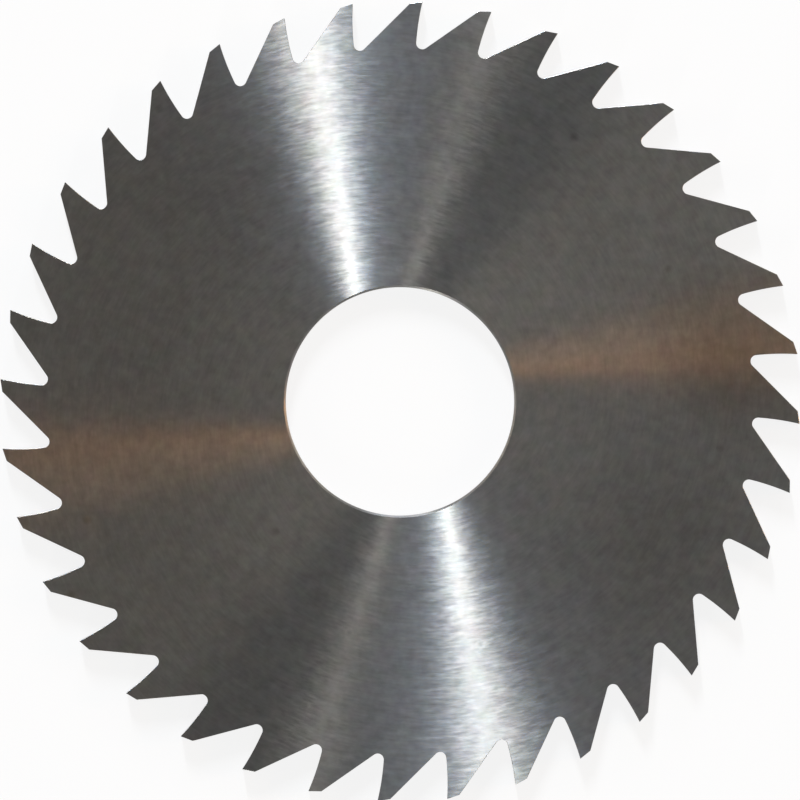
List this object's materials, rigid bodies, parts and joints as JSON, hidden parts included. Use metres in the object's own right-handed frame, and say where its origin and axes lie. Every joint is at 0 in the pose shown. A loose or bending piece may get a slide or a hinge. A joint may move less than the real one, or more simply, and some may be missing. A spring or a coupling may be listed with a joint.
{
  "type": "slitting saw",
  "caption": "Thin flat slitting saw blade with raked teeth around the rim, sides ground to a slight taper and a plain round arbor bore.",
  "frame": {"origin": "on the bore axis, at the plane that the lower corners of the cutting edges rest on", "axes": "+Z along the bore axis, out of the upper side; +Y through one cutting edge; seen from +Z the teeth cut clockwise"},
  "size_m": [0.0444, 0.0444, 0.0016],
  "materials": {
    "ground_steel": "bare high speed steel, ground in circles about the bore"
  },
  "bodies": {
    "root": {"saw_blade": "ground_steel"}
  },
  "joints": []
}
